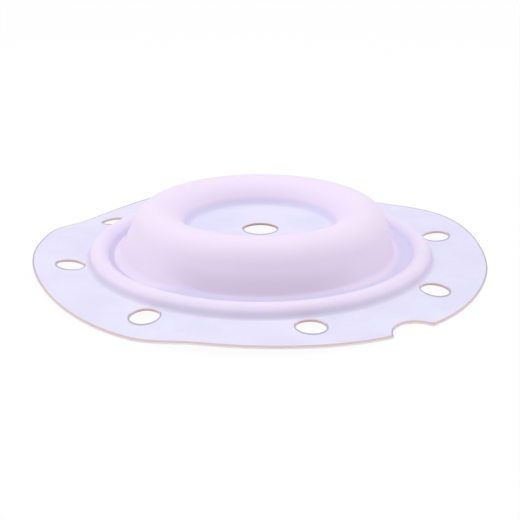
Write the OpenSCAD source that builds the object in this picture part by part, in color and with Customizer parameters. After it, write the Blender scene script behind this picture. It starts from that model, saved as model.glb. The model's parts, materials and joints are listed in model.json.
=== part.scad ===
// Formed diaphragm of an air-operated pump: one pressed sheet with a flat centre
// disc for the clamping plates, a tall rounded convolution that rolls with the
// stroke, a sealing bead, and a thin bolted flange that lies wavy while it is free.

/* [Sheet] */
// Thickness of the formed sheet
sheet_t = 1; // [0.8:0.1:1.3]

/* [Flange] */
// Outer diameter
flange_d = 186; // [160:1:210]
// Distance from the rim in to the bolt circle
bolt_inset = 14.75; // [12:0.25:18]
// Diameter of each bolt hole
bolt_hole_d = 11; // [7:0.5:12]
// Number of bolt holes
bolt_count = 8; // [4:1:12]
// Direction of the first bolt hole, counterclockwise from +X
first_bolt_angle = 13.1; // [0:0.1:90]
// Radius of the locating notch in the rim
notch_r = 10.8; // [6:0.1:14]
// Depth of the locating notch below the rim
notch_depth = 6.3; // [3:0.1:9]
// Bolt hole that the notch follows by half a pitch
notch_after_hole = 7; // [1:1:12]
// Deepest dip of the free rim below the flange's plane
wave_height = 2.4; // [0:0.1:4]

/* [Sealing bead] */
// Height of the bead's crest above the flange
bead_height = 4.6; // [4.2:0.1:6]
// Radius of the bead's crest
bead_r = 4; // [2.5:0.1:5]
// Slope of the bead towards the groove
bead_inner_angle = 60; // [45:1:65]
// Slope of the bead towards the flange
bead_outer_angle = 72; // [50:1:80]
// Fillets at the feet of the bead
bead_fillet_r = 1.5; // [0.5:0.1:2.5]
// Flat land between the bead's foot and the bolt holes
bead_land = 0.6; // [0.2:0.1:2]

/* [Groove] */
// Height of the groove's floor above the flange
groove_height = 1; // [0:0.1:2.2]
// Width of the groove between the feet of its two walls
groove_w = 6.7; // [5:0.1:10]

/* [Convolution] */
// Height of the crest above the flange
crest_height = 20.7; // [18:0.1:26]
// Radius of the crown's outer half
crown_outer_r = 10; // [6:0.1:11]
// Radius of the crown's inner half
crown_inner_r = 12.5; // [8:0.1:14]
// Slope of the wall that falls to the groove
outer_wall_angle = 76; // [58:1:80]
// Slope of the wall that falls to the centre disc
inner_wall_angle = 66; // [55:1:78]
// Fillet between the outer wall and the groove
groove_fillet_r = 3; // [1:0.1:4]
// Fillet between the inner wall and the centre disc
disc_fillet_r = 4; // [1:0.1:6]

/* [Centre disc] */
// Height of the disc above the flange
disc_height = 9.9; // [5:0.1:12]
// Diameter of the hole for the centre stud
stud_hole_d = 14; // [6:0.5:20]

/* [Hidden] */
sheet_color = [0.91, 0.89, 0.97];
$fn = 120;

// Free shape of the rim: direction and lift, as a share of wave_height
waves = [
    [21, 0.92], [60, -0.96], [108, 0.54], [147, -0.96], [171, 0.8],
    [189, 1.12], [240, -0.96], [258, 0.12], [318, -1], [351, -0.2]
];
flange_z = sheet_t + wave_height;
cut_h = flange_z + crest_height;

// Length that a fillet takes from each of the two lines that it joins
function setback(radius, turn) = radius * tan(turn / 2);

// Run of a wall from the end of its crown to the corner at its foot
function wall_length(rise, slope) = rise / sin(slope);

// Distance from a crest to the corner at the foot of one of its walls
function foot_reach(rise, radius, slope) = setback(radius, slope) + rise / tan(slope);

// Fillet at a wall's foot, no larger than the wall leaves room for
function foot_fillet(wanted, rise, crown, slope) =
    min(wanted, 0.98 * (wall_length(rise, slope) - setback(crown, slope)) / tan(slope / 2));

// Heights of the walls on both sides of the two crests
crest_to_disc = crest_height - disc_height;
crest_to_groove = crest_height - groove_height;
bead_to_groove = bead_height - groove_height;

disc_fillet = foot_fillet(disc_fillet_r, crest_to_disc, crown_inner_r, inner_wall_angle);
groove_fillet = foot_fillet(groove_fillet_r, crest_to_groove, crown_outer_r, outer_wall_angle);
bead_inner_fillet = foot_fillet(bead_fillet_r, bead_to_groove, bead_r, bead_inner_angle);
bead_outer_fillet = foot_fillet(bead_fillet_r, bead_height, bead_r, bead_outer_angle);

// Radii of the section, worked inwards from the rim
bolt_circle_r = flange_d / 2 - bolt_inset;
bead_foot = bolt_circle_r - bolt_hole_d / 2 - bead_land;
bead_corner = bead_foot - setback(bead_outer_fillet, bead_outer_angle);
bead_crest = bead_corner - foot_reach(bead_height, bead_r, bead_outer_angle);
groove_outer = bead_crest - foot_reach(bead_to_groove, bead_r, bead_inner_angle);
groove_inner = groove_outer - groove_w;
crest = groove_inner - foot_reach(crest_to_groove, crown_outer_r, outer_wall_angle);
disc_corner = crest - foot_reach(crest_to_disc, crown_inner_r, inner_wall_angle);

// Bends of the sheet from the disc to the flange: centre, radius of the upper
// face, the angles of its two ends, and 1 for a crest or -1 for a trough
bends = [
    [[disc_corner - setback(disc_fillet, inner_wall_angle), disc_height + disc_fillet],
        disc_fillet, -90, inner_wall_angle - 90, -1],
    [[crest, crest_height - crown_inner_r],
        crown_inner_r, 90 + inner_wall_angle, 90, 1],
    [[crest, crest_height - crown_outer_r],
        crown_outer_r, 90, 90 - outer_wall_angle, 1],
    [[groove_inner + setback(groove_fillet, outer_wall_angle), groove_height + groove_fillet],
        groove_fillet, -90 - outer_wall_angle, -90, -1],
    [[groove_outer - setback(bead_inner_fillet, bead_inner_angle), groove_height + bead_inner_fillet],
        bead_inner_fillet, -90, bead_inner_angle - 90, -1],
    [[bead_crest, bead_height - bead_r],
        bead_r, 90 + bead_inner_angle, 90 - bead_outer_angle, 1],
    [[bead_foot, bead_outer_fillet],
        bead_outer_fillet, -90 - bead_outer_angle, -90, -1]
];

// The wavy flange laps this far over the flat edge of the formed middle
lap = 0.4;
formed_edge = bead_foot + 2 * lap;
flange_inner = bead_foot + lap;
wave_start = bead_foot + 2.5 * lap;
wave_steps = 120;

// Angle between the points of a bend
bend_step = 5;

function polar(radius, angle) = radius * [cos(angle), sin(angle)];

// Points along a bend, at a depth below the sheet's upper face
function bend_path(bend, depth) =
    let (steps = ceil(abs(bend[3] - bend[2]) / bend_step))
    [
        for (i = [0 : steps])
            bend[0] + polar(bend[1] - bend[4] * depth, bend[2] + (bend[3] - bend[2]) * i / steps)
    ];

// One face of the formed middle, from the stud hole out to its flat edge; the
// point that the two halves of the crown share is listed once
function face_path(depth) =
    let (path = [
        [stud_hole_d / 2, disc_height - depth],
        for (bend = bends) each bend_path(bend, depth),
        [formed_edge, -depth]
    ])
    [
        for (i = [0 : len(path) - 1])
            if (i == 0 || norm(path[i] - path[i - 1]) > 0.001) path[i]
    ];

function reversed(list) = [for (i = [len(list) - 1 : -1 : 0]) list[i]];

// Section of the formed middle, its upper flange face at height 0
module formed_section() {
    polygon(concat(face_path(0), reversed(face_path(sheet_t))));
}

// Waves once round the rim, with a neighbour before the first and after the last
waves_around = concat([waves[len(waves) - 1] - [360, 0]], waves, [waves[0] + [360, 0]]);

// Lift of the rim in a direction, eased between the two nearest waves
function rim_lift(angle) =
    let (
        i = max([for (k = [0 : len(waves_around) - 2]) if (waves_around[k][0] <= angle) k]),
        from = waves_around[i],
        to = waves_around[i + 1],
        share = (angle - from[0]) / (to[0] - from[0])
    )
    wave_height * (from[1] + (to[1] - from[1]) * (1 - cos(180 * share)) / 2);

// Free flange as one wavy ring, its faces rising or falling evenly to the rim
module wavy_flange() {
    rings = [[flange_inner, 0], [wave_start, 0], [flange_d / 2, 1]];
    count = len(rings);
    lifts = [for (k = [0 : wave_steps - 1]) rim_lift(360 * k / wave_steps)];
    points = [
        for (side = [0, 1], ring = rings, k = [0 : wave_steps - 1])
            let (spot = polar(ring[0], 360 * k / wave_steps))
            [spot[0], spot[1], ring[1] * lifts[k] - side * sheet_t]
    ];
    function at(side, ring, k) = (side * count + ring) * wave_steps + k % wave_steps;
    faces = [
        for (k = [0 : wave_steps - 1], ring = [0 : count - 2]) each [
            [at(0, ring, k), at(0, ring, k + 1), at(0, ring + 1, k + 1)],
            [at(0, ring, k), at(0, ring + 1, k + 1), at(0, ring + 1, k)],
            [at(1, ring, k), at(1, ring + 1, k + 1), at(1, ring, k + 1)],
            [at(1, ring, k), at(1, ring + 1, k), at(1, ring + 1, k + 1)]
        ],
        for (k = [0 : wave_steps - 1]) each [
            [at(0, 0, k), at(1, 0, k + 1), at(0, 0, k + 1)],
            [at(0, 0, k), at(1, 0, k), at(1, 0, k + 1)],
            [at(0, count - 1, k), at(0, count - 1, k + 1), at(1, count - 1, k + 1)],
            [at(0, count - 1, k), at(1, count - 1, k + 1), at(1, count - 1, k)]
        ]
    ];
    polyhedron(points, faces);
}

// One upright cutter through the flange
module flange_cut(radius, distance, angle) {
    rotate([0, 0, angle])
        translate([distance, 0, -sheet_t])
            cylinder(r = radius, h = cut_h);
}

module diaphragm() {
    bolt_pitch = 360 / bolt_count;
    notch_angle = first_bolt_angle + (notch_after_hole - 0.5) * bolt_pitch;
    color(sheet_color)
        difference() {
            translate([0, 0, flange_z])
                union() {
                    rotate_extrude()
                        formed_section();
                    wavy_flange();
                }
            for (i = [0 : bolt_count - 1])
                flange_cut(bolt_hole_d / 2, bolt_circle_r, first_bolt_angle + i * bolt_pitch);
            flange_cut(notch_r, flange_d / 2 - notch_depth + notch_r, notch_angle);
        }
}

diaphragm();
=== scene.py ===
import json
import math

import bmesh
import bpy
from mathutils import Matrix, Vector


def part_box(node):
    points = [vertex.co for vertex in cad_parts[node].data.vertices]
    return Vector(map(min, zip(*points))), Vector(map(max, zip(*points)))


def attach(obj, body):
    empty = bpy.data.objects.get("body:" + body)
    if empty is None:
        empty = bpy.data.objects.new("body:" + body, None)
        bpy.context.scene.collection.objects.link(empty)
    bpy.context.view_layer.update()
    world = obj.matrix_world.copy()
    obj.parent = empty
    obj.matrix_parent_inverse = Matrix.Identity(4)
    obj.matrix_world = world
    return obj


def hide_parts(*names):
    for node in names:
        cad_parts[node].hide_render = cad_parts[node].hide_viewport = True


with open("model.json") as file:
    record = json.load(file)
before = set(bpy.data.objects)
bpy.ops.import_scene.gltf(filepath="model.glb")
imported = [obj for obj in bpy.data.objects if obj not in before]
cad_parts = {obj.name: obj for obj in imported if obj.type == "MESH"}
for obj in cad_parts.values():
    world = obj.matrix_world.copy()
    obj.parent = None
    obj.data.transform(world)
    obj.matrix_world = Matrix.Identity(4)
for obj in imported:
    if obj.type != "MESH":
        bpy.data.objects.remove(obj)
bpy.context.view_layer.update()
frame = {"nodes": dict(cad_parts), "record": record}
mounts = {mount["name"]: mount for mount in frame["record"]["mounts"]}
mm = 0.001
print("frame loaded:", sorted(frame["nodes"]))


# one formed sheet, sizes in millimetres, heights above the flange's upper face
sheetPlan = {
    "thickness": 1.0,
    "flangeTop": 3.4,          # from the floor, where the rim dips touch it
    "studRadius": mounts["centre_bore"]["dims"]["r_mm"],
    "discHeight": 9.9,
    "discFillet": 4.0,
    "crestRadius": 42.85,      # from the axis to the crest of the convolution
    "crestHeight": 20.7,
    "crownInner": 12.5,        # radii of the crown's two halves
    "crownOuter": 10.0,
    "innerWall": math.radians(66),
    "outerWall": math.radians(76),
    "grooveHeight": 1.0,
    "grooveFillet": 3.0,
    "flare": 3.0,              # how far the outer wall's foot runs out at the left
    "flareTop": 15.0,          # height at which the flare starts
    "flareCurve": 1.5,         # 1 is a straight wall, more is hollow
    "flareSide": (0.3, 0.85),  # cosine from the left where it starts, and is full
    "beadRadius": 66.66,       # from the axis to the crest of the bead
    "beadHeight": 4.6,
    "beadCrown": 4.0,
    "beadInner": math.radians(60),
    "beadOuter": math.radians(72),
    "beadFillet": 1.5,
    "bendStep": math.radians(6),
    "columns": 360,
    "discRings": 8,
    "samePoint": 0.002,        # points nearer than this are one
    "edgeTurn": math.radians(60),  # sharper edges than this get a round
    "edgeRound": 0.15,
    "edgeSegments": 3,
    "edgeLine": 0.45,          # row of faces along every punched edge
}

# the free flange: rim lift by direction, and the notch midway between two holes
flangePlan = {
    "rimRadius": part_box("diaphragm")[1].x / mm,
    "holeCircle": mounts["flange_bolts"]["dims"]["pcd_mm"] / 2,
    "holeRadius": mounts["flange_bolts"]["dims"]["hole_r_mm"],
    "holes": mounts["flange_bolts"]["dims"]["count"],
    "firstHole": 13.1,         # degrees from +X
    "holePatch": 85.0,         # outer radius of the patch that each hole sits in
    "holePatchColumns": 13,
    "holeSteps": [(0.5, 5.0), (0.6, 0.45), (0.0, 0.0)],  # share of the gap to the hole, and its most
    "innerRings": 10,
    "outerRings": 6,
    "notchRadius": 10.8,
    "notchDepth": 6.3,
    "notchAfterHole": 7,
    "notchColumns": 12,
    "notchFrom": 76.0,         # radius at which the columns start to bend to the notch
    "slack": 0.01,             # allowed where points are picked by their place
    "flatLand": 1.0,           # flat stretch outside the bead's foot
    "rampStart": 0.03,         # softens the start of the ramp to the rim
    "waveHeight": 2.4,
    # degrees from +X, and the rim's lift there as a share of waveHeight
    "waves": [(21, 0.92), (60, -0.96), (108, 0.54), (147, -0.96), (171, 0.8),
              (189, 1.12), (240, -0.96), (258, 0.12), (318, -1.0), (351, -0.2)],
}


def setback(radius, turn):
    return radius * math.tan(turn / 2)


def footReach(rise, radius, slope):
    return setback(radius, slope) + rise / math.tan(slope)


# bends from the disc to the flange: centre radius, centre height, radius, start angle, turn
def sheetBends(plan):
    crest, crestHeight = plan["crestRadius"], plan["crestHeight"]
    bead, beadHeight = plan["beadRadius"], plan["beadHeight"]
    discHeight, grooveHeight = plan["discHeight"], plan["grooveHeight"]
    innerWall, outerWall = plan["innerWall"], plan["outerWall"]
    discFillet, grooveFillet, beadFillet = plan["discFillet"], plan["grooveFillet"], plan["beadFillet"]
    discCorner = crest - footReach(crestHeight - discHeight, plan["crownInner"], innerWall)
    grooveInner = crest + footReach(crestHeight - grooveHeight, plan["crownOuter"], outerWall)
    grooveOuter = bead - footReach(beadHeight - grooveHeight, plan["beadCrown"], plan["beadInner"])
    beadCorner = bead + footReach(beadHeight, plan["beadCrown"], plan["beadOuter"])
    down = -math.pi / 2
    up = math.pi / 2
    return [
        (discCorner - setback(discFillet, innerWall), discHeight + discFillet,
         discFillet, down, innerWall),
        (crest, crestHeight - plan["crownInner"], plan["crownInner"], up + innerWall, -innerWall),
        (crest, crestHeight - plan["crownOuter"], plan["crownOuter"], up, -outerWall),
        (grooveInner + setback(grooveFillet, outerWall), grooveHeight + grooveFillet,
         grooveFillet, down - outerWall, outerWall),
        (grooveOuter - setback(beadFillet, plan["beadInner"]), grooveHeight + beadFillet,
         beadFillet, down, plan["beadInner"]),
        (bead, beadHeight - plan["beadCrown"],
         plan["beadCrown"], up + plan["beadInner"], -plan["beadInner"] - plan["beadOuter"]),
        (beadCorner + setback(beadFillet, plan["beadOuter"]), beadFillet,
         beadFillet, down - plan["beadOuter"], plan["beadOuter"]),
    ]


def sectionPoint(radius, height):
    return Vector((radius, 0, sheetPlan["flangeTop"] + height)) * mm


# section from the stud hole out to the rim, drawn along the upper face
def drawSection():
    studRadius = sheetPlan["studRadius"]
    pen = sectionPoint(studRadius, sheetPlan["discHeight"])
    bpy.ops.object.select_all(action="DESELECT")
    bpy.ops.mesh.primitive_plane_add(size=mm, location=(0, 0, 0))
    sheet = bpy.context.object
    sheet.name = "diaphragm_sheet"
    bpy.ops.object.mode_set(mode="EDIT")
    bpy.ops.mesh.select_all(action="SELECT")
    bpy.ops.mesh.merge(type="CENTER")
    bpy.ops.transform.translate(value=pen)

    def lineTo(target):
        nonlocal pen
        bpy.ops.mesh.extrude_region_move(TRANSFORM_OT_translate={"value": target - pen})
        pen = target

    bends = sheetBends(sheetPlan)
    discEdge = sectionPoint(bends[0][0], sheetPlan["discHeight"])
    start = pen.copy()
    lineTo(sectionPoint(studRadius + sheetPlan["edgeLine"], sheetPlan["discHeight"]))
    for step in range(1, sheetPlan["discRings"] + 1):
        lineTo(start.lerp(discEdge, step / sheetPlan["discRings"]))
    for radius, height, bendRadius, angle, turn in bends:
        ends = [sectionPoint(radius + bendRadius * math.cos(end), height + bendRadius * math.sin(end))
                for end in (angle, angle + turn)]
        if (ends[0] - pen).length > sheetPlan["samePoint"] * mm:  # the crown's halves share a point
            lineTo(ends[0])
        steps = math.ceil(abs(turn) / sheetPlan["bendStep"])
        bpy.ops.mesh.spin(steps=steps, angle=turn, center=sectionPoint(radius, height), axis=(0, 1, 0))
        pen = ends[1]
    footRadius = pen.x / mm
    lineRadius = flangePlan["rimRadius"] - sheetPlan["edgeLine"]
    stretches = [(footRadius, flangePlan["holePatch"], flangePlan["innerRings"]),
                 (flangePlan["holePatch"], lineRadius, flangePlan["outerRings"]),
                 (lineRadius, flangePlan["rimRadius"], 1)]
    for inner, outer, rings in stretches:
        for step in range(1, rings + 1):
            lineTo(sectionPoint(inner + (outer - inner) * step / rings, 0))
    print("section drawn, foot of the bead at", round(footRadius, 2), "mm")
    return sheet, footRadius


# directions are in degrees from +X
def polarOf(point):
    return math.hypot(point.x, point.y) / mm, math.degrees(math.atan2(point.y, point.x))


def onCircle(radius, direction):
    turn = math.radians(direction)
    return Vector((math.cos(turn), math.sin(turn))) * radius


# direction of a hole by its number, from 1; a half lies midway between two holes
def holeDirection(number):
    return flangePlan["firstHole"] + (number - 1) * 360 / flangePlan["holes"]


# the notch's round: its centre's distance from the axis, and its direction
def notchPlace():
    distance = flangePlan["rimRadius"] - flangePlan["notchDepth"] + flangePlan["notchRadius"]
    return distance, holeDirection(flangePlan["notchAfterHole"] + 0.5)


# one pitch of the sheet with its bolt hole, then the others round the axis
def formPitches(sheet, footRadius):
    pitch = 360 / flangePlan["holes"]
    samePoint = sheetPlan["samePoint"] * mm
    bpy.ops.mesh.select_all(action="SELECT")
    bpy.ops.mesh.spin(steps=sheetPlan["columns"] // flangePlan["holes"], angle=-math.radians(pitch),
                      center=(0, 0, 0), axis=(0, 0, 1))
    bpy.ops.mesh.select_all(action="SELECT")
    bpy.ops.mesh.remove_doubles(threshold=samePoint)
    halfPatch = flangePlan["holePatchColumns"] * 180 / sheetPlan["columns"]

    def inPatch(point, slack):
        radius, angle = polarOf(point)
        inRings = footRadius - slack < radius < flangePlan["holePatch"] + slack
        return inRings and abs(angle - pitch / 2) < halfPatch + slack

    bpy.ops.mesh.select_all(action="DESELECT")
    cells = bmesh.from_edit_mesh(sheet.data)
    for face in cells.faces:
        face.select = inPatch(face.calc_center_median(), 0)
    bmesh.update_edit_mesh(sheet.data)
    bpy.ops.mesh.delete(type="FACE")
    bpy.ops.mesh.select_mode(type="EDGE")
    bpy.ops.mesh.select_all(action="DESELECT")
    cells = bmesh.from_edit_mesh(sheet.data)
    for edge in cells.edges:
        middle = (edge.verts[0].co + edge.verts[1].co) / 2
        edge.select = len(edge.link_faces) == 1 and inPatch(middle, flangePlan["slack"])
    bmesh.update_edit_mesh(sheet.data)
    centre = onCircle(flangePlan["holeCircle"] * mm, pitch / 2).to_3d()
    centre.z = sheetPlan["flangeTop"] * mm
    holeRadius = flangePlan["holeRadius"] * mm
    for keep, widest in flangePlan["holeSteps"]:   # draws the patch's border in to the hole
        bpy.ops.mesh.extrude_edges_move()
        cells = bmesh.from_edit_mesh(sheet.data)
        for vert in cells.verts:
            if vert.select:
                away = vert.co - centre
                gap = min(keep * (away.length - holeRadius), widest * mm)
                vert.co = centre + away.normalized() * (holeRadius + gap)
        bmesh.update_edit_mesh(sheet.data)
    bpy.ops.mesh.select_all(action="SELECT")
    copies = flangePlan["holes"] - 1
    bpy.ops.mesh.spin(steps=copies, angle=-math.radians(pitch) * copies, dupli=True,
                      center=(0, 0, 0), axis=(0, 0, 1))
    bpy.ops.mesh.select_all(action="SELECT")
    bpy.ops.mesh.remove_doubles(threshold=samePoint)
    bpy.ops.mesh.normals_make_consistent(inside=False)
    bpy.ops.object.mode_set(mode="OBJECT")
    if sheet.data.polygons[0].normal.z < 0:
        sheet.data.flip_normals()
    turn = math.radians(flangePlan["firstHole"] - pitch / 2)
    sheet.data.transform(Matrix.Rotation(turn, 4, "Z"))
    print("sheet formed:", len(sheet.data.vertices), "points")


# runs the outer wall's foot out over the groove towards the left
def flareFoot(sheet):
    bends = sheetBends(sheetPlan)
    floorStart, floorEnd = bends[3][0], bends[4][0]
    sideStart, sideFull = sheetPlan["flareSide"]
    drop = sheetPlan["flareTop"] - sheetPlan["grooveHeight"]
    for vert in sheet.data.vertices:
        radius, angle = polarOf(vert.co)
        side = min(1, max(0, (-vert.co.x / mm / radius - sideStart) / (sideFull - sideStart)))
        if not sheetPlan["crestRadius"] < radius < floorEnd or side == 0:
            continue
        below = max(0, sheetPlan["flareTop"] + sheetPlan["flangeTop"] - vert.co.z / mm)
        onWall = (below / drop) ** sheetPlan["flareCurve"]
        onFloor = (floorEnd - radius) / (floorEnd - floorStart)
        shift = sheetPlan["flare"] * side * side * (3 - 2 * side) * min(onWall, onFloor)
        vert.co.xy = onCircle((radius + shift) * mm, angle)
    print("foot flared by", sheetPlan["flare"], "mm at the left")


# draws the rim in along the notch's arc, column by column
def cutNotch(sheet):
    rim, inner = flangePlan["rimRadius"], flangePlan["notchFrom"]
    reach = flangePlan["notchRadius"]
    middle, direction = notchPlace()
    corner = math.acos((middle ** 2 + reach ** 2 - rim ** 2) / (2 * middle * reach))
    half = flangePlan["notchColumns"] // 2
    columnTurn = 360 / sheetPlan["columns"]
    for vert in sheet.data.vertices:
        radius, angle = polarOf(vert.co)
        column = round(((angle - direction + 180) % 360 - 180) / columnTurn)
        if abs(column) > half or radius < inner + flangePlan["slack"]:
            continue
        share = (radius - inner) / (rim - inner)
        turn = corner * column / half
        arc = Vector((middle - reach * math.cos(turn), reach * math.sin(turn)))
        spot = onCircle(inner, column * columnTurn).lerp(arc, share)
        spot.rotate(Matrix.Rotation(math.radians(direction), 2))
        vert.co.x, vert.co.y = spot.x * mm, spot.y * mm
    print("notch cut at", round(direction, 1), "degrees")


# lift of the rim in a direction, eased between the two nearest waves
def rimLift(angle):
    waves = flangePlan["waves"]
    last, first = waves[-1], waves[0]
    around = [(last[0] - 360, last[1])] + waves + [(first[0] + 360, first[1])]
    start, end = next(pair for pair in zip(around, around[1:]) if angle <= pair[1][0])
    share = (angle - start[0]) / (end[0] - start[0])
    eased = (1 - math.cos(math.pi * share)) / 2
    return flangePlan["waveHeight"] * (start[1] + (end[1] - start[1]) * eased)


# lift of the free flange at a place, nothing on the flat land by the bead
def flangeLift(radius, angle, footRadius):
    start = footRadius + flangePlan["flatLand"]
    share = max(0, (radius - start) / (flangePlan["rimRadius"] - start))
    ramp = share * share / (share + flangePlan["rampStart"])
    return rimLift(angle % 360) * ramp * (1 + flangePlan["rampStart"])


def layWavy(sheet, footRadius):
    for vert in sheet.data.vertices:
        radius, angle = polarOf(vert.co)
        vert.co.z += flangeLift(radius, angle, footRadius) * mm
    print("flange laid in", len(flangePlan["waves"]), "rises and dips")


def applyModifier(piece, kind, **settings):
    modifier = piece.modifiers.new(kind.lower(), kind)
    for name, value in settings.items():
        setattr(modifier, name, value)
    bpy.ops.object.modifier_apply(modifier=modifier.name)


# thickness below the upper face, then a small round on every cut edge
def thicken(sheet):
    bpy.ops.object.select_all(action="DESELECT")
    sheet.select_set(True)
    bpy.context.view_layer.objects.active = sheet
    applyModifier(sheet, "SOLIDIFY", thickness=sheetPlan["thickness"] * mm, offset=-1,
                  use_even_offset=True, use_quality_normals=True)
    bpy.ops.object.mode_set(mode="EDIT")
    bpy.ops.mesh.select_mode(type="EDGE")
    bpy.ops.mesh.select_all(action="DESELECT")
    bpy.ops.mesh.edges_select_sharp(sharpness=sheetPlan["edgeTurn"])
    bpy.ops.mesh.bevel(offset=sheetPlan["edgeRound"] * mm, segments=sheetPlan["edgeSegments"],
                       profile=0.5, affect="EDGES")    # a profile of 0.5 is round
    bpy.ops.object.mode_set(mode="OBJECT")
    bpy.ops.object.shade_smooth()
    applyModifier(sheet, "WEIGHTED_NORMAL", mode="FACE_AREA", keep_sharp=False)
    print("sheet thickened:", len(sheet.data.polygons), "faces")


# for each point: millimetres to the nearest punched edge, how far that edge's wall
# faces the front (1) or the back (-1), and millimetres below the sheet's upper face
cutMarks = ("cutGap", "cutFacing", "cutDepth")


def markCuts(sheet, footRadius):
    cuts = [(onCircle(flangePlan["holeCircle"], holeDirection(number)), flangePlan["holeRadius"])
            for number in range(1, flangePlan["holes"] + 1)]
    cuts.append((onCircle(*notchPlace()), flangePlan["notchRadius"]))
    cuts.append((Vector((0, 0)), sheetPlan["studRadius"]))
    gaps, facings, depths = [], [], []
    for vert in sheet.data.vertices:
        radius, angle = polarOf(vert.co)
        spot = vert.co.xy / mm
        edges = [(flangePlan["rimRadius"] - radius, -spot.y / radius)]
        for centre, reach in cuts:
            away = spot - centre
            edges.append((away.length - reach, away.y / away.length))
        gap, facing = min(edges)
        gaps.append(max(0, gap))
        facings.append(facing)
        top = flangeLift(radius, angle, footRadius) if radius > footRadius else sheetPlan["discHeight"]
        depths.append(sheetPlan["flangeTop"] + top - vert.co.z / mm)
    for name, values in zip(cutMarks, (gaps, facings, depths)):
        sheet.data.attributes.new(name, "FLOAT", "POINT").data.foreach_set("value", values)
    print("cut edges marked:", len(cuts) + 1)


# a value in a shader: an expression on values adds its Math nodes
class Wire:
    def __init__(self, tree, socket):
        self.tree = tree
        self.socket = socket

    def math(self, operation, first, second):
        node = self.tree.nodes.new("ShaderNodeMath")
        node.operation = operation
        for slot, value in zip(node.inputs, (first, second)):
            if isinstance(value, Wire):
                self.tree.links.new(value.socket, slot)
            else:
                slot.default_value = value
        return Wire(self.tree, node.outputs[0])

    def __add__(self, other):
        return self.math("ADD", self, other)

    def __radd__(self, other):
        return self.math("ADD", other, self)

    def __sub__(self, other):
        return self.math("SUBTRACT", self, other)

    def __rsub__(self, other):
        return self.math("SUBTRACT", other, self)

    def __mul__(self, other):
        return self.math("MULTIPLY", self, other)

    def __rmul__(self, other):
        return self.math("MULTIPLY", other, self)

    def __truediv__(self, other):
        return self.math("DIVIDE", self, other)

    def __rtruediv__(self, other):
        return self.math("DIVIDE", other, self)

    def __pow__(self, other):
        return self.math("POWER", self, other)

    def __rpow__(self, other):
        return self.math("POWER", other, self)


# the nodes of a material, or of the world
class Finish:
    def __init__(self, name, tree=None):
        self.material = None
        if tree is None:
            self.material = bpy.data.materials.new(name)
            self.material.use_nodes = True
            tree = self.material.node_tree
        self.tree = tree
        self.tree.nodes.clear()

    # a node by its type: settings first, then socket values or links
    def node(self, kind, settings=None, sockets=None, output=0):
        node = self.tree.nodes.new("ShaderNode" + kind)
        for name, value in (settings or {}).items():
            setattr(node, name, value)
        for name, value in (sockets or {}).items():
            slot = node.inputs[name]
            if isinstance(value, Wire):
                self.tree.links.new(value.socket, slot)
            else:
                slot.default_value = value
        return Wire(self.tree, node.outputs[output]) if node.outputs else None

    def blend(self, factor, first, second):
        return self.node("Mix", {"data_type": "RGBA"}, {0: factor, 6: first, 7: second}, output=2)

    def noise(self, place, plan):
        return self.node("TexNoise", None,
                         {"Vector": place, "Scale": plan["scale"], "Detail": plan["detail"]})

    # 0 before the start, 1 past the end and a smooth step between
    def step(self, value, start, end):
        return self.node("MapRange", {"interpolation_type": "SMOOTHSTEP"},
                         {"Value": value, "From Min": start, "From Max": end})

    # 1 from full to fade, 0 before the start and past the end
    def band(self, value, start, full, fade, end):
        return self.step(value, start, full) * (1 - self.step(value, fade, end))


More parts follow.
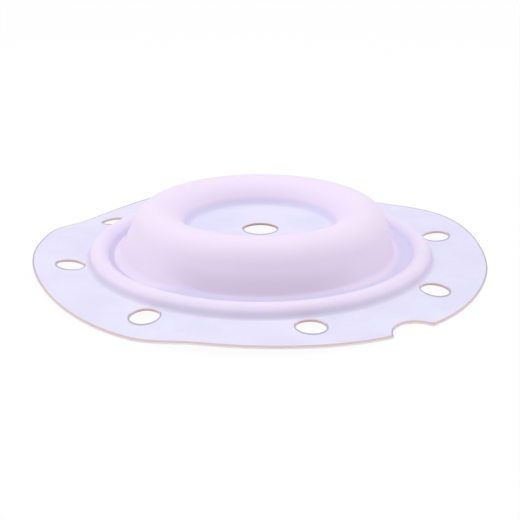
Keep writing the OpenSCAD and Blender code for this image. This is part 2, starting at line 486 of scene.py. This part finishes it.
# waxy white fluoropolymer sheet: cool where it lies flat, warmer where it was drawn, that warmth in
# part painted pink side light on the walls, with painted shade in its creases, its groove and at the
# wall's foot at the front;
# lengths in millimetres, and each pair is where a smooth step starts and ends
ptfePlan = {
    "pale": (0.785, 0.79, 0.955, 1),
    "dull": (0.745, 0.745, 0.925, 1),
    "mottle": (0.38, 0.62),    # noise from dull to pale
    # share of each noise in the mottle, its relief, and what it adds to the roughness
    "cloud": {"scale": 55.0, "detail": 3.0, "share": 0.7, "relief": 0.12, "rough": 0.12},
    "streak": {"scale": 1.0, "detail": 3.0, "share": 0.13, "relief": 0.006,
               "stretch": (5.0, 420.0, 5.0)},
    "grain": {"scale": 2400.0, "detail": 2.0, "share": 0.17, "relief": 0.008, "rough": 0.1},

    # warmer where the sheet was drawn, in part painted pink side light on its walls
    "drawn": (0.87, 0.775, 0.945, 1),
    # painted shade, darker and bluer: in the groove and along the disc's edge
    "deepShade": (0.68, 0.645, 0.85, 1),
    # painted shade for the bead's outer foot and the narrow groove at the left
    "creaseShade": (0.60, 0.55, 0.73, 1),
    "rings": [                 # radii where a tint starts, is full, fades and ends, and its share
        # the drawn tint on the convolution and the bead, in part painted side light
        ("drawn", 30.4, 31.6, 54.8, 57.0, 0.9),
        ("drawn", 62.5, 64.5, 69.5, 72.0, 0.65),
        # painted shade along the bead's outer foot
        ("creaseShade", 69.6, 70.7, 71.2, 72.5, 0.35),
        # painted shade in the groove and along the disc's edge
        ("deepShade", 54.9, 57.4, 61.2, 63.5, 0.75),
        ("deepShade", 29.0, 30.4, 31.0, 32.2, 0.5),
    ],
    "ringShare": 0.8,          # of a ring's share, where there is no cloud
    "ringCloud": 0.4,          # added with the cloud
    # painted light: the drawn tint reaches further out at the sides, most at the left
    "sides": (0.15, 0.6),      # squared cosine of the direction, from front and back to the sides
    "spread": 2.9,             # how far the drawn tint moves out at the sides, as painted light on the lower walls there
    "spreadLeft": 1.8,         # more at the left, less at the right
    "spreadBand": (50.0, 55.0, 60.3, 63.0),
    # painted shade on the outer wall's foot, at the front only
    "foot": (0.75, 0.68, 0.80, 1),
    "footShare": 0.75,
    "footBand": (52.9, 54.2, 55.2, 55.8),
    "footFront": (-0.7, -0.97),  # sine of the direction, towards the front
    "creaseShare": 0.7,        # painted shade in the narrow groove at the flared foot
    "creaseBand": (60.0, 61.0, 61.8, 63.2),
    "creaseLeft": (-0.3, -0.8),  # cosine of the direction, towards the left

    # painted shade lines along the punched edges
    "line": (0.38, 0.365, 0.48, 1),
    "lineShare": 0.92,
    "lineGap": (0.25, 0.8),    # from a punched edge
    "lineDepth": (0.25, 0.5),
    "lineReach": 1.4,          # added share of its width where the wall faces back, 1 less at the front
    "warmFacing": (0.2, 0.6),
    "rimEdgeShade": (0.64, 0.47, 0.44, 1),
    "blush": (0.80, 0.66, 0.72, 1),
    "cut": (0.82, 0.63, 0.57, 1),
    # painted near white, on the rim's lower wall
    "paintedPale": (0.97, 0.96, 0.97, 1),
    "wallGap": (0.04, 0.14),
    "lowDepth": (0.2, 0.45),   # from a cut wall's upper to its lower part
    "rimBand": (84.5, 85.5),   # radius from the holes' cuts to the rim's

    "roughness": 0.37,         # with no noise
    "subsurface": 0.15,
    "scatter": (1.0, 0.85, 0.9),
    "scatterDepth": 1.2,
    "ior": 1.38,
}


def ptfeSheet():
    finish = Finish("ptfe_sheet")
    place = finish.node("TexCoord", output="Object")
    across = finish.node("SeparateXYZ", None, {"Vector": place}, output="X") / mm
    along = finish.node("SeparateXYZ", None, {"Vector": place}, output="Y") / mm
    radius = (across * across + along * along) ** 0.5

    cloudPlan, streakPlan, grainPlan = ptfePlan["cloud"], ptfePlan["streak"], ptfePlan["grain"]
    cloud = finish.noise(place, cloudPlan)
    skived = finish.node("Mapping", None, {"Vector": place, "Scale": streakPlan["stretch"]})
    streak = finish.noise(skived, streakPlan)
    grain = finish.noise(place, grainPlan)
    mixed = cloudPlan["share"] * cloud + streakPlan["share"] * streak + grainPlan["share"] * grain
    tone = finish.blend(finish.step(mixed, *ptfePlan["mottle"]), ptfePlan["dull"], ptfePlan["pale"])

    # painted light: the drawn tint spreads past the wall's foot at the two sides, most at the left, and
    # pushes the groove's painted shade outwards with it
    side = finish.step(across * across / (radius * radius), *ptfePlan["sides"])
    spread = side * (ptfePlan["spread"] - ptfePlan["spreadLeft"] * across / radius)
    drawn = radius - spread * finish.band(radius, *ptfePlan["spreadBand"])
    clouded = ptfePlan["ringShare"] + ptfePlan["ringCloud"] * cloud
    for tint, start, full, fade, end, share in ptfePlan["rings"]:
        ring = finish.band(drawn, start, full, fade, end)
        tone = finish.blend(share * ring * clouded, tone, ptfePlan[tint])
    # painted shade: the wall's foot darker towards the front
    front = finish.step(along / radius, *ptfePlan["footFront"])
    foot = ptfePlan["footShare"] * finish.band(radius, *ptfePlan["footBand"]) * front
    tone = finish.blend(foot, tone, ptfePlan["foot"])
    # painted shade in the groove at the left
    left = finish.step(across / radius, *ptfePlan["creaseLeft"])
    creaseShade = ptfePlan["creaseShare"] * finish.band(radius, *ptfePlan["creaseBand"]) * left
    tone = finish.blend(creaseShade, tone, ptfePlan["creaseShade"])

    # painted shade along each punched edge: a dark cool line where its wall faces back, warm where it
    # faces the front, at the rim standing in for its shaded cut edge
    gap, facing, depth = [finish.node("Attribute", {"attribute_name": mark}, output="Fac")
                          for mark in cutMarks]
    rim = finish.step(radius, *ptfePlan["rimBand"])
    warm = finish.step(facing, *ptfePlan["warmFacing"])
    edge = finish.blend(warm, ptfePlan["line"], finish.blend(rim, ptfePlan["blush"], ptfePlan["rimEdgeShade"]))
    reach = 1 + facing * facing * (ptfePlan["lineReach"] - warm)   # as wide to the camera all round
    upper = 1 - finish.step(depth, *ptfePlan["lineDepth"])
    line = upper * (1 - finish.step(gap / reach, *ptfePlan["lineGap"]))
    colour = finish.blend(ptfePlan["lineShare"] * line, tone, edge)

    # the cut walls, paler above at the holes and below at the rim; at the rim the darker upper band is
    # painted shade and the lower part is painted near white
    wall = 1 - finish.step(gap, *ptfePlan["wallGap"])
    upperWall = finish.blend(rim, ptfePlan["blush"], ptfePlan["cut"])
    lowerWall = finish.blend(rim, ptfePlan["cut"], ptfePlan["paintedPale"])
    low = finish.step(depth, *ptfePlan["lowDepth"])
    colour = finish.blend(wall, colour, finish.blend(low, upperWall, lowerWall))

    relief = cloudPlan["relief"] * cloud + streakPlan["relief"] * streak + grainPlan["relief"] * grain
    bump = finish.node("Bump", None, {"Strength": 1.0, "Distance": mm, "Height": relief})
    surface = finish.node("BsdfPrincipled", None, {
        "Base Color": colour,
        "Roughness": ptfePlan["roughness"] + cloudPlan["rough"] * cloud + grainPlan["rough"] * grain,
        "IOR": ptfePlan["ior"],
        "Subsurface Weight": ptfePlan["subsurface"],
        "Subsurface Radius": ptfePlan["scatter"],
        "Subsurface Scale": ptfePlan["scatterDepth"] * mm,
        "Normal": bump,
    })
    finish.node("OutputMaterial", None, {"Surface": surface})
    return finish.material


sheet, footRadius = drawSection()
formPitches(sheet, footRadius)
flareFoot(sheet)
cutNotch(sheet)
layWavy(sheet, footRadius)
thicken(sheet)
markCuts(sheet, footRadius)
sheet.data.materials.clear()
sheet.data.materials.append(ptfeSheet())
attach(sheet, "root")
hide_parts("diaphragm")
print("sheet finished")


# a white floor that keeps a soft shadow, its size in metres
floorPlan = {"size": 4.0, "grey": (0.8, 0.8, 0.8, 1), "white": (1, 1, 1, 1), "shadowShare": 0.045}


def layFloor():
    bpy.ops.object.select_all(action="DESELECT")
    bpy.ops.mesh.primitive_plane_add(size=floorPlan["size"], location=(0, 0, 0))
    floor = bpy.context.object
    floor.name = "floor"
    finish = Finish("white_floor")
    seen = finish.node("LightPath", output="Is Camera Ray")
    mirrored = finish.node("LightPath", output="Is Glossy Ray")
    through = finish.node("LightPath", output="Is Transmission Ray")
    plain = finish.node("BsdfDiffuse", None, {"Color": floorPlan["grey"]})
    glow = finish.node("Emission", None, {"Color": floorPlan["white"], "Strength": 1.0})
    pale = finish.node("BsdfDiffuse", None, {"Color": floorPlan["white"]})
    shown = finish.node("MixShader", None, {0: floorPlan["shadowShare"], 1: glow, 2: pale})
    direct = 1 - (1 - seen) * (1 - mirrored) * (1 - through)
    surface = finish.node("MixShader", None, {0: direct, 1: plain, 2: shown})
    finish.node("OutputMaterial", None, {"Surface": surface})
    floor.data.materials.append(finish.material)
    print("floor laid")


# plain soft studio light: place and size in metres, power in watts, and tint of each lamp
lampPlan = {
    "overhead": {"place": (-0.03, 0.06, 0.8), "size": 1.2, "power": 3.35, "tint": (0.95, 0.97, 1.0)},
    "left": {"place": (-0.75, 0.05, 0.3), "size": 0.5, "power": 0.85, "tint": (1.0, 0.95, 0.96)},
    "right": {"place": (0.75, 0.1, 0.3), "size": 0.5, "power": 0.5, "tint": (1.0, 0.95, 0.96)},
}
lampAim = Vector((0, 0, 0.01))   # where every lamp points, in metres

# light from all round, and what the camera sees of it
worldPlan = {
    "colour": (1.0, 0.95, 0.97, 1),
    "strength": 0.69,
    "seenColour": (1, 1, 1, 1),
    "seenStrength": 1.0,
}


def hangLamps():
    for name, plan in lampPlan.items():
        bpy.ops.object.light_add(type="AREA", location=plan["place"])
        lamp = bpy.context.object
        lamp.name = name
        lamp.data.shape = "DISK"
        lamp.data.size = plan["size"]
        lamp.data.energy = plan["power"]
        lamp.data.color = plan["tint"]
        lamp.rotation_euler = (lampAim - lamp.location).to_track_quat("-Z", "Y").to_euler()
    print("lamps hung:", len(lampPlan))


def lightWorld():
    world = bpy.data.worlds.new("studio")
    bpy.context.scene.world = world
    world.use_nodes = True
    finish = Finish("studio", world.node_tree)
    sky = finish.node("Background", None,
                      {"Color": worldPlan["colour"], "Strength": worldPlan["strength"]})
    white = finish.node("Background", None,
                        {"Color": worldPlan["seenColour"], "Strength": worldPlan["seenStrength"]})
    seen = finish.node("LightPath", output="Is Camera Ray")
    shown = finish.node("MixShader", None, {0: seen, 1: sky, 2: white})
    finish.node("OutputWorld", None, {"Surface": shown})
    print("world lit")


# the photograph's view: the lens axis meets the flange's plane on the part's axis
cameraPlan = {
    "elevation": math.radians(20.04),
    "distance": 426.4,         # millimetres along the lens axis
    "sensor": 36.0,
    "imageWidth": 520,
    "focalPixels": 1020.2,
    "axisPixel": (260.3, 250.7),  # where the lens axis falls in the picture
    "clipStart": 10.0,
}


def setCamera():
    width = cameraPlan["imageWidth"]
    tilt = cameraPlan["elevation"]
    back = Vector((0, -math.cos(tilt), math.sin(tilt))) * cameraPlan["distance"] * mm
    bpy.ops.object.camera_add(location=Vector((0, 0, sheetPlan["flangeTop"] * mm)) + back,
                              rotation=(math.pi / 2 - tilt, 0, 0))
    camera = bpy.context.object
    camera.name = "camera"
    camera.data.sensor_width = cameraPlan["sensor"]
    camera.data.lens = cameraPlan["sensor"] * cameraPlan["focalPixels"] / width
    camera.data.shift_x = (width / 2 - cameraPlan["axisPixel"][0]) / width
    camera.data.shift_y = (cameraPlan["axisPixel"][1] - width / 2) / width
    camera.data.clip_start = cameraPlan["clipStart"] * mm
    bpy.context.scene.camera = camera
    print("camera set")


layFloor()
hangLamps()
lightWorld()
setCamera()
bpy.context.scene.view_settings.view_transform = "Standard"
